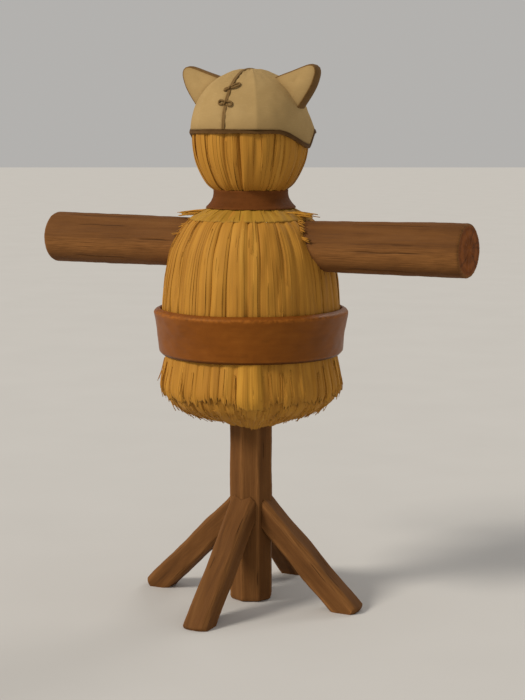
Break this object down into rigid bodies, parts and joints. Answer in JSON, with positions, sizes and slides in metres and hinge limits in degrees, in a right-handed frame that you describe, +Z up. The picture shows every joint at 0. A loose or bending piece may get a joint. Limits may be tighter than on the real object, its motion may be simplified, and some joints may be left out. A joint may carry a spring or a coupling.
{
  "type": "straw training dummy",
  "caption": "Standing straw-stuffed striking dummy on a braced wooden post, with one round log as both arms, a leather belt and collar, and a sewn eared cap that lifts off.",
  "frame": {"origin": "on the floor at the axis of the post", "axes": "+Z up along the post, X along the arm log, the front of the cap faces -Y"},
  "size_m": [1.48, 0.7939, 1.728],
  "materials": {
    "post_wood": "hewn, dull, weathered",
    "log_wood": "peeled round log, dull",
    "peg_wood": "cleft hardwood peg",
    "straw": "dry straw, matte with a slight gloss along each stalk",
    "straw_wad": "packed straw, matte",
    "twine": "hemp twine, matte",
    "belt_leather": "oiled thick leather, worn edges",
    "collar_leather": "dull thick leather",
    "canvas": "heavy undyed canvas, matte",
    "binding": "soft brown leather strip, dull",
    "cord": "waxed brown cord",
    "rivet": "blackened iron"
  },
  "bodies": {
    "stand": {"post": "post_wood", "crossbar": "log_wood", "crossbar_trenail": "peg_wood", "brace_right": "post_wood", "brace_back": "post_wood", "brace_left": "post_wood", "brace_front": "post_wood", "brace_peg_right": "peg_wood", "brace_peg_back": "peg_wood", "brace_peg_left": "peg_wood", "brace_peg_front": "peg_wood", "straw_core": "straw_wad", "straw_torso": "straw", "straw_skirt": "straw", "straw_ruff": "straw", "straw_head": "straw", "head_core": "straw_wad", "neck_tie_upper": "twine", "neck_tie_lower": "twine", "skirt_tie": "twine", "belt": "belt_leather", "belt_tab": "belt_leather", "belt_rivet_1": "rivet", "belt_rivet_2": "rivet", "belt_rivet_3": "rivet", "belt_rivet_4": "rivet", "neck_collar": "collar_leather", "neck_collar_tab": "collar_leather", "neck_collar_rivet_1": "rivet", "neck_collar_rivet_2": "rivet"},
    "cap": {"cap_left": "canvas", "cap_right": "canvas", "cap_binding": "binding", "cap_seam_strip": "binding", "cap_stitch_lower": "cord", "cap_stitch_upper": "cord", "ear_left": "canvas", "ear_right": "canvas", "ear_left_gusset": "binding", "ear_right_gusset": "binding"}
  },
  "joints": [
    {"name": "cap_lift", "type": "slide", "parent": "stand", "child": "cap", "axis": [0, 0, 1], "range_m": [0, 0.3]}
  ]
}
